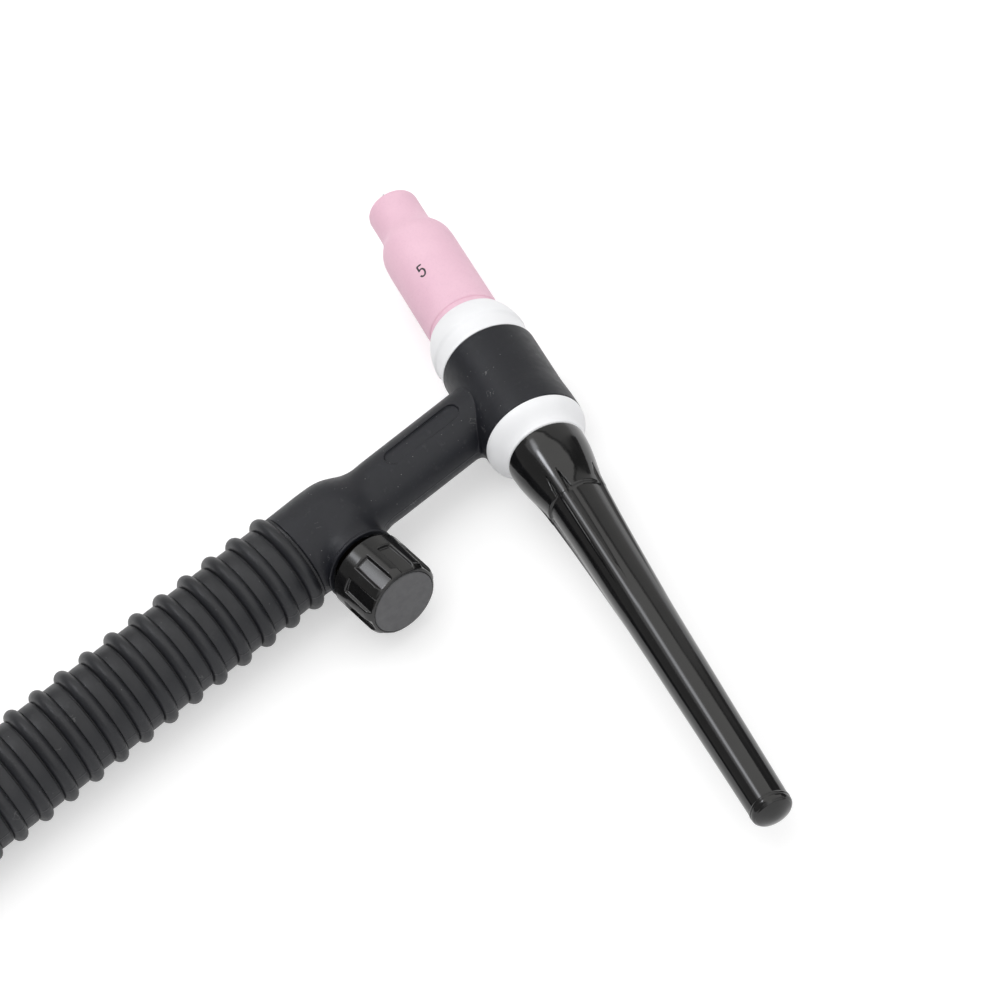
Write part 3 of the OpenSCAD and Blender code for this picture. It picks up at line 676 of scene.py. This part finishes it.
def size_digit():
    """The plain size number: three strokes, across and along the cup, bent round it."""
    strokes = [
        through([(0.82, 1.66), (-0.7, 1.74)], 6),
        through([(-0.62, 1.8), (-0.64, -0.06)], 6),
        through([(-0.72, -0.02), (-0.32, 0.26), (0.08, 0.36), (0.5, 0.18), (0.78, -0.3),
                 (0.84, -0.85), (0.68, -1.5), (0.36, -1.94), (-0.04, -2.1), (-0.48, -2.0),
                 (-0.78, -1.72), (-0.92, -1.36)], 4)]
    points, faces = [], []
    for lift, stroke in enumerate(strokes):
        line = np.array(stroke) * DIGIT_SCALE
        way = np.gradient(line, axis=0)
        way /= np.linalg.norm(way, axis=1)[:, None]
        side = HALF_STROKE * np.stack([-way[:, 1], way[:, 0]], 1)
        edges = np.concatenate([line + side, line - side])
        turn = DIGIT_TURN - edges[:, 0] / DIGIT_R
        r = DIGIT_R + LAYER * lift
        bent = np.stack([-r * np.cos(turn), r * np.sin(turn), DIGIT_PLACE + edges[:, 1]], 1)
        start, count = len(points), len(line)
        points += placed(bent, FORWARD).tolist()
        faces += [(start + i, start + i + 1, start + count + i + 1, start + count + i)
                  for i in range(count - 1)]
    mesh = bpy.data.meshes.new("cup_size_digit")
    mesh.from_pydata(points, [], faces)
    mesh.update()
    centre = placed([[0, 0, DIGIT_PLACE]], FORWARD)[0]
    if sum((p.center - Vector(centre)) @ p.normal for p in mesh.polygons) < 0:
        mesh.flip_normals()
    return mesh


finish_piece("cup_size_digit", size_digit(), "cup", ink, [])


# ---------------------------------------------------------------- electrode

ROD_R, ROD_BACK, ROD_TIP = 1.2, -70.9, 79.1

rod_line = [(0, ROD_BACK), (ROD_R - 0.15, ROD_BACK), (ROD_R, ROD_BACK + 0.15), (ROD_R, 74.0),
            (1.17, 74.3), (0.18, 79.05), (0.1, ROD_TIP), (0, ROD_TIP)]
finish_piece("electrode_rod", lathe_mesh("electrode_rod", rod_line, FORWARD, sides=48),
             "electrode", tungsten, ["electrode"])


# ---------------------------------------------------------------- back cap

CAP_BASE, BELL_END, BELL_BULGE = 22.8, 40.6, 0.4
TUBE_START, TUBE_END = 30.0, 138.6
FIN_START, FIN_END, FIN_TURN, FIN_CREST = 31.0, 82.0, math.radians(20.3), 0.09
SLOT_START, SLOT_PLACE, SLOT_SPREAD, SLOT_DEPTH = 34.6, 1.5, 0.11, 0.1
BELL_LINE = smoothed([CAP_BASE, 23.3, 24.8, 27.8, 31.2, 34.4, 36.6, 38.8, 41.5],
                     [9.96, 10.0, 9.98, 9.74, 9.19, 8.56, 8.12, 7.80, 7.62], curved=True)
TUBE_LINE = smoothed(
    [TUBE_START, 38.0, 50.0, 60.0, 72.0, 90.0, 100.0, 110.0, 120.0, 130.0, 138.4],
    [7.3, 7.15, 6.65, 6.35, 6.1, 5.7, 5.53, 5.33, 5.16, 5.0, 4.87], curved=True)
FIN_LINE = smoothed([30.0, 38.0, 42.0, 50.0, 60.0, 70.0, 75.0, 79.0, FIN_END],
                    [8.45, 7.93, 7.64, 7.06, 6.42, 5.72, 5.3, 4.6, 4.0], curved=True)
FIN_HALF = ([30.0, 50.0, 60.0, 68.0, 77.0], [0.8, 0.74, 0.64, 0.5, 0.3])

# Spigot with its seal groove, seat of the brass insert and the electrode's bore
CAP_FRONT, CAP_SPIGOT_R = 18.8, 8.2
SEAL_PLACE, SEAL_HALF, SEAL_R = 20.6, 0.8, 7.0
INSERT_R, INSERT_BACK, CAP_BORE_R, CAP_BORE_END = 5.0, 31.8, 2.2, 133.1


def cap_field(x, y, t):
    r = np.sqrt(x ** 2 + y ** 2)
    turn = np.arctan2(y, x) - FIN_TURN
    quarter = turn - math.pi / 2 * np.round(turn / (math.pi / 2))
    across = np.abs(r * np.sin(quarter))
    tube_r = np.interp(t, *TUBE_LINE)
    tube = common(r - tube_r, np.maximum(TUBE_START - t, t - TUBE_END), 0.1)
    # The bell ends square between the fins, with a slot that widens beside each of them
    share = np.clip((math.pi / 4 - np.abs(quarter)) / (math.pi / 4), 0, 1)
    bell_ends = np.maximum(CAP_BASE - t, t - BELL_END - BELL_BULGE * share)
    bell = common(r - np.interp(t, *BELL_LINE), bell_ends, 0.35)
    slot = np.abs(across - SLOT_PLACE) - SLOT_SPREAD * np.clip(t - SLOT_START, 0, 8)
    slot = np.maximum(slot, np.maximum(tube_r + SLOT_DEPTH - r, SLOT_START - t))
    bell = without(bell, slot, 0.2)
    crest = common(r + FIN_CREST * across ** 2 - np.interp(t, *FIN_LINE),
                   np.maximum(FIN_START - t, t - FIN_END), 0.15)
    fin = common(across - np.interp(t, *FIN_HALF), crest, 0.12)
    body = join(join(tube, fin, 1.5), bell, 0.7)
    body = np.minimum(body, rod(r, t, CAP_FRONT, CAP_BASE + 0.7, CAP_SPIGOT_R, 0.3))
    for space in (rod(r, t, CAP_FRONT - 0.8, INSERT_BACK, INSERT_R),
                  rod(r, t, INSERT_BACK - 0.8, CAP_BORE_END, CAP_BORE_R),
                  np.maximum(np.abs(t - SEAL_PLACE) - SEAL_HALF, SEAL_R - r)):
        body = without(body, space)
    return body


cap = field_mesh("cap_shell", cap_field, low=(-10.6, -10.6, 18.2), high=(10.6, 10.6, 139.2),
                 cell=0.3, where=BEHIND)
finish_piece("cap_shell", cap, "cap", cap_black, ["back_cap"])

# The cap's end: a fine collar, a round band and a shallow dome
tip_collar = [(4.7, 138.1), (4.9, 138.5), (4.98, 138.68), (4.99, 138.9), (4.94, 139.02),
              (4.87, 139.08), (4.87, 139.14)]
tip_band = through([(4.9, 139.2), (4.93, 139.45), (4.88, 139.85), (4.72, 140.2),
                    (4.54, 140.4)], 3)
tip_dome = through([(4.4, 140.55), (4.22, 140.72), (3.95, 140.87), (3.5, 141.1), (2.5, 141.55),
                    (1.2, 141.93), (0.4, 142.03)], 3)
tip_line = ([(0, 138.1)] + tip_collar + tip_band + [(4.46, 140.44), (4.42, 140.5)] + tip_dome
            + [(0, 142.04)])
finish_piece("cap_tip", lathe_mesh("cap_tip", tip_line, BEHIND), "cap", cap_black,
             [])

THREAD_ROOT, THREAD_CREST, THREAD_PITCH = 4.95, 5.48, 1.27
SHANK_R, INSERT_BORE_R, INSERT_END = 4.98, 1.5, 31.75
insert_mesh = thread_mesh(
    "cap_insert_screw",
    [(INSERT_BORE_R, 4.1), (2.5, 3.1), (4.7, 3.1), (THREAD_ROOT, 3.4)],
    (THREAD_ROOT, THREAD_CREST, THREAD_PITCH, 3.6, 17.6),
    [(THREAD_ROOT, 18.0), (SHANK_R, CAP_FRONT), (SHANK_R, INSERT_END),
     (INSERT_BORE_R, INSERT_END)], BEHIND)
finish_piece("cap_insert_screw", insert_mesh, "cap", brass, ["back_cap_insert"])


# ---------------------------------------------------------------- valve knob

KNOB_R, KNOB_BASE, KNOB_END, KNOB_RING, KNOB_ROUND = 9.95, 16.0, 30.2, 4.4, 2.6
POCKETS, POCKET_TURN, POCKET_FLOOR, POCKET_HALF = 9, math.radians(104.5), 9.05, 1.53
POCKET_SPREAD, FLOOR_CROWN = 0.02, 0.02
# Slant of the pockets' walls and starts, and its length for each mm across
WALL_SLOPE, WALL_LENGTH = 0.7, 1.22
START_SLOPE, START_LENGTH = 0.45, 1.1
SKIRT_R, SKIRT_END, HUB_R = 8.55, 18.4, 5.2
STEM_HOLE_R, STEM_END, SCREW_HOLE_R = 2.43, 25.0, 1.48
SCREW_HEAD_R, HEAD_SEAT = 3.3, 26.6
COVER_SEAT_R, COVER_SEAT = 8.38, 28.82


def knob_field(x, y, t):
    r = np.sqrt(x ** 2 + y ** 2)
    body = common(r - KNOB_R, KNOB_BASE - t, 0.5)
    body = common(body, t - KNOB_END, KNOB_ROUND)
    step = 2 * math.pi / POCKETS
    turn = np.arctan2(y, x) - POCKET_TURN
    turn = turn - step * np.round(turn / step)
    out, across = r * np.cos(turn), np.abs(r * np.sin(turn))
    above = out - POCKET_FLOOR
    half = POCKET_HALF + POCKET_SPREAD * (t - KNOB_BASE - KNOB_RING)
    wall = (across - half - WALL_SLOPE * above) / WALL_LENGTH
    start = (KNOB_BASE + KNOB_RING - START_SLOPE * above - t) / START_LENGTH
    bottom = POCKET_FLOOR + 0.03 - FLOOR_CROWN * across ** 2 - out
    pocket = common(common(bottom, wall, 0.12), start, 0.12)
    body = without(body, pocket, 0.22)
    skirt = np.maximum(rod(r, t, KNOB_BASE - 1.0, SKIRT_END, SKIRT_R), HUB_R - r)
    for space in (skirt, rod(r, t, KNOB_BASE - 1.0, STEM_END, STEM_HOLE_R),
                  rod(r, t, STEM_END - 1.0, 30.0, SCREW_HOLE_R),
                  rod(r, t, HEAD_SEAT, 30.0, SCREW_HEAD_R),
                  rod(r, t, COVER_SEAT, 31.0, COVER_SEAT_R)):
        body = without(body, space)
    return body


knob = field_mesh("knob_shell", knob_field, low=(-10.4, -10.4, 15.6), high=(10.4, 10.4, 30.6),
                  cell=0.22, where=VALVE)
finish_piece("knob_shell", knob, "valve_control", knob_black, ["valve_knob"])

disc_line = [(0, 28.85), (8.32, 28.85), (8.32, 30.0), (8.25, 30.12), (8.1, 30.17), (7.9, 30.18),
             (0, 30.16)]
finish_piece("knob_disc", lathe_mesh("knob_disc", disc_line, VALVE), "valve_control",
             cover_grey, ["knob_cover"])


# ---------------------------------------------------------------- pieces that stay from the CAD

KEPT = {
    "head_core": brass, "neck_tube": copper, "valve_block": dark_brass, "power_stud": brass,
    "collet_body": brass, "collet": copper, "back_cap_o_ring": nitrile, "valve_stem": dark_brass,
    "stem_o_ring": nitrile, "gland_nut": dark_brass, "knob_screw": steel,
}
for node, paint in KEPT.items():
    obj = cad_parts[node]
    obj.data.materials.clear()
    obj.data.materials.append(paint)


# ---------------------------------------------------------------- floor, in metres from here on

FLOOR_PLACE, FLOOR_HALF = (0.1, 0.0, -0.01325), 4.0
FLOOR_TONE, FLOOR_GLOW = 0.72, 0.46


def floor_paint():
    """Pale floor that the camera and gloss see as white, with the torch's shadow kept."""
    mat, tree = new_material("studio_floor")
    shader = tree.nodes["Principled BSDF"]
    shader.inputs["Base Color"].default_value = (FLOOR_TONE, FLOOR_TONE, FLOOR_TONE, 1)
    shader.inputs["Roughness"].default_value = 0.9
    shader.inputs["Specular IOR Level"].default_value = 0.1
    path = add_node(tree, "ShaderNodeLightPath")
    seen = calculate(tree, "MAXIMUM", path.outputs["Is Camera Ray"],
                     path.outputs["Is Glossy Ray"])
    seen = calculate(tree, "MAXIMUM", seen, path.outputs["Is Transmission Ray"])
    light = add_node(tree, "ShaderNodeEmission")
    wire(tree, calculate(tree, "MULTIPLY", seen, FLOOR_GLOW), light.inputs["Strength"])
    both = add_shaders(tree, shader.outputs[0], light.outputs[0])
    wire(tree, both, tree.nodes["Material Output"].inputs["Surface"])
    return mat


def stage_piece(name, points, faces, paint):
    """A mesh of the studio, which is no part of the torch."""
    mesh = bpy.data.meshes.new(name)
    mesh.from_pydata(points, [], faces)
    mesh.materials.append(paint)
    obj = bpy.data.objects.new(name, mesh)
    bpy.context.scene.collection.objects.link(obj)
    return obj


floor = stage_piece(
    "floor", [(x * FLOOR_HALF, y * FLOOR_HALF, 0) for x, y in ((-1, -1), (1, -1), (1, 1), (-1, 1))],
    [(0, 1, 2, 3)], floor_paint())
floor.location = FLOOR_PLACE


# ---------------------------------------------------------------- lamps and cards

LAMP_AIM = Vector((0.15, -0.02, 0.0))
WARM, COOL = (1.0, 0.99, 0.965, 1), (0.95, 0.975, 1.03, 1)


def lamp(name, direction, distance, size, watts):
    """A square lamp that looks at the torch from that direction."""
    light = bpy.data.lights.new(name, "AREA")
    light.shape = "RECTANGLE"
    light.size, light.size_y, light.energy = size, size, watts
    obj = bpy.data.objects.new(name, light)
    bpy.context.scene.collection.objects.link(obj)
    way = Vector(direction).normalized()
    obj.location = LAMP_AIM + way * distance
    obj.rotation_euler = way.to_track_quat("Z", "Y").to_euler()


def glow(name, level, fade=None, tint=WARM):
    """Plain light for a card. fade gives the axis, two places along it and the level at the first.

    With the axis "round" the light fades from the middle outwards, over what lies behind.
    """
    mat, tree = new_material(name)
    light = add_node(tree, "ShaderNodeEmission")
    light.inputs["Color"].default_value = tint
    light.inputs["Strength"].default_value = level
    end = light.outputs[0]
    if fade:
        axis, low, high, low_level = fade
        place = add_node(tree, "ShaderNodeTexCoord").outputs["Object"]
        if axis == "round":
            far = add_node(tree, "ShaderNodeVectorMath", operation="LENGTH")
            wire(tree, place, far.inputs[0])
            value = far.outputs["Value"]
            clear = add_node(tree, "ShaderNodeBsdfTransparent")
            end = add_shaders(tree, light.outputs[0], clear.outputs[0])
        else:
            parts = add_node(tree, "ShaderNodeSeparateXYZ")
            wire(tree, place, parts.inputs[0])
            value = parts.outputs[axis]
        strength = map_range(tree, value, low, high, low_level, level,
                             interpolation_type="SMOOTHSTEP")
        wire(tree, strength, light.inputs["Strength"])
    wire(tree, end, tree.nodes["Material Output"].inputs["Surface"])
    return mat


def card(name, paint, points, faces=None, middle=(0, 0, 0), turn=0.0):
    """A sheet of the studio that only gloss sees."""
    obj = stage_piece(name, points, faces or [tuple(range(len(points)))], paint)
    obj.location = middle
    obj.rotation_euler = (0, 0, turn)
    obj.visible_camera = False
    obj.visible_diffuse = False
    obj.visible_shadow = False


def level_points(corners, up):
    return [(x, y, up) for x, y in corners]


def disc_points(radius, sides=32):
    turns = [2 * math.pi * i / sides for i in range(sides)]
    return [(radius * math.cos(a), radius * math.sin(a), 0) for a in turns]


def tent_card():
    """Dark cloth round the left and the far side, from the floor to overhead."""
    wide, tall, radius, first, sweep = 24, 8, 3.0, 30, 220
    points = []
    for j in range(tall + 1):
        up = math.radians(90 * j / tall)
        for i in range(wide + 1):
            way = math.radians(first + sweep * i / wide)
            points.append((radius * math.cos(up) * math.cos(way),
                           radius * math.cos(up) * math.sin(way), radius * math.sin(up)))
    row = wide + 1
    faces = [(j * row + i, j * row + i + 1, (j + 1) * row + i + 1, (j + 1) * row + i)
             for j in range(tall) for i in range(wide)]
    card("tent", glow("tent", 0.3), points, faces)


def bar_card(line, half, up):
    """A narrow dark bar along the line, which is the near edge of the side board."""
    points = []
    for i, (x, y) in enumerate(line):
        x0, y0 = line[max(i - 1, 0)]
        x1, y1 = line[min(i + 1, len(line) - 1)]
        size = math.hypot(x1 - x0, y1 - y0)
        nx, ny = -(y1 - y0) / size * half, (x1 - x0) / size * half
        points += [(x - nx, y - ny, up), (x + nx, y + ny, up)]
    faces = [(2 * i, 2 * i + 1, 2 * i + 3, 2 * i + 2) for i in range(len(line) - 1)]
    card("bar", glow("bar", 0.28), points, faces)


def side_board(near_edge, turn, middle):
    """A board beside the torch, paler away from its near edge."""
    cos, sin = math.cos(turn), math.sin(turn)
    corners = [(0.2, 0.5), (0.2, 1.8), (2.6, 1.8), (2.6, -0.1)] + near_edge[::-1]
    local = [(x - middle[0], y - middle[1]) for x, y in corners]
    card("side_board", glow("side_board", 0.75, (1, 0.07, 0.17, 0.22)),
         [(x * cos + y * sin, y * cos - x * sin, 0) for x, y in local],
         middle=middle, turn=turn)


def round_lamp(name, level, bright, dark, radius, middle):
    """The picture of a lamp, bright up to one radius and gone at the next."""
    card(name, glow(name, 0.0, ("round", bright, dark, level), COOL), disc_points(radius),
         middle=middle)


lamp("key", (0.0, 0.35, 0.95), distance=1.6, size=1.8, watts=8.5)
lamp("fill", (-0.3, -0.75, 0.6), distance=1.6, size=1.2, watts=2.5)
tent_card()
card("ceiling", glow("ceiling", 1.5),
     level_points([(-0.2, -2.0), (3.2, -2.0), (3.2, 1.6), (-0.2, 1.6)], up=1.0))
round_lamp("lamp_wide", 4.4, 0.05, 0.24, radius=0.26, middle=(-0.15, 0.67, 0.98))
round_lamp("lamp_core", 15.0, 0.04, 0.14, radius=0.15, middle=(-0.2, 0.46, 0.97))
near_edge = through([(0.225, 0.26), (0.243, 0.17), (0.27, 0.12), (0.30, 0.083), (0.34, 0.049),
                     (0.398, 0.019), (0.46, 0.006), (0.56, 0.002), (0.8, 0.0)], 5)
bar_card(near_edge, half=0.014, up=0.218)
side_board(near_edge, turn=math.atan(0.3), middle=(0.8, 0.0, 0.22))
card("flag", glow("flag", 0.12),
     level_points([(0.40, 0.03), (0.405, -0.09), (0.6, -0.13), (1.5, -0.2), (1.6, 0.08),
                   (0.9, 0.085), (0.6, 0.04), (0.5, 0.02)], up=0.216))
card("low_wall", glow("low_wall", 0.12),
     [(1.1, -0.6, -0.012), (1.1, 0.22, -0.012), (1.1, 0.22, 0.3), (1.1, -0.6, 0.3)])
card("dark_mat", glow("dark_mat", 0.15),
     level_points([(0.24, -0.13), (0.327, -0.072), (0.552, 0.014), (1.1, 0.22), (1.1, -0.6),
                   (0.24, -0.6)], up=-0.0125))


def studio_world():
    """White to the camera, gloss and glass, and dimmer to matt surfaces."""
    full, matt = 1.0, 0.75
    world = bpy.data.worlds.new("studio")
    bpy.context.scene.world = world
    world.use_nodes = True
    tree = world.node_tree
    shine = tree.nodes["Background"]
    shine.inputs["Color"].default_value = (1, 1, 1, 1)
    path = add_node(tree, "ShaderNodeLightPath")
    strength = map_range(tree, path.outputs["Is Diffuse Ray"], 0.0, 1.0, full, matt)
    wire(tree, strength, shine.inputs["Strength"])


studio_world()


# ---------------------------------------------------------------- camera

CAMERA_PLACE = (-0.02983, -0.45946, 0.58704)
CAMERA_RIGHT, CAMERA_UP = (0.7557, -0.6238, -0.1995), (0.597, 0.5309, 0.6015)
CAMERA_BACK = (-0.2693, -0.5736, 0.7736)

view = bpy.data.cameras.new("camera")
view.lens = 115.2
view.sensor_width = 36.0
view.clip_start, view.clip_end = 0.01, 20.0
camera = bpy.data.objects.new("camera", view)
bpy.context.scene.collection.objects.link(camera)
pose = Matrix((CAMERA_RIGHT, CAMERA_UP, CAMERA_BACK)).transposed().to_4x4()
pose.translation = Vector(CAMERA_PLACE)
camera.matrix_world = pose
bpy.context.scene.camera = camera
bpy.context.scene.view_settings.view_transform = "Standard"
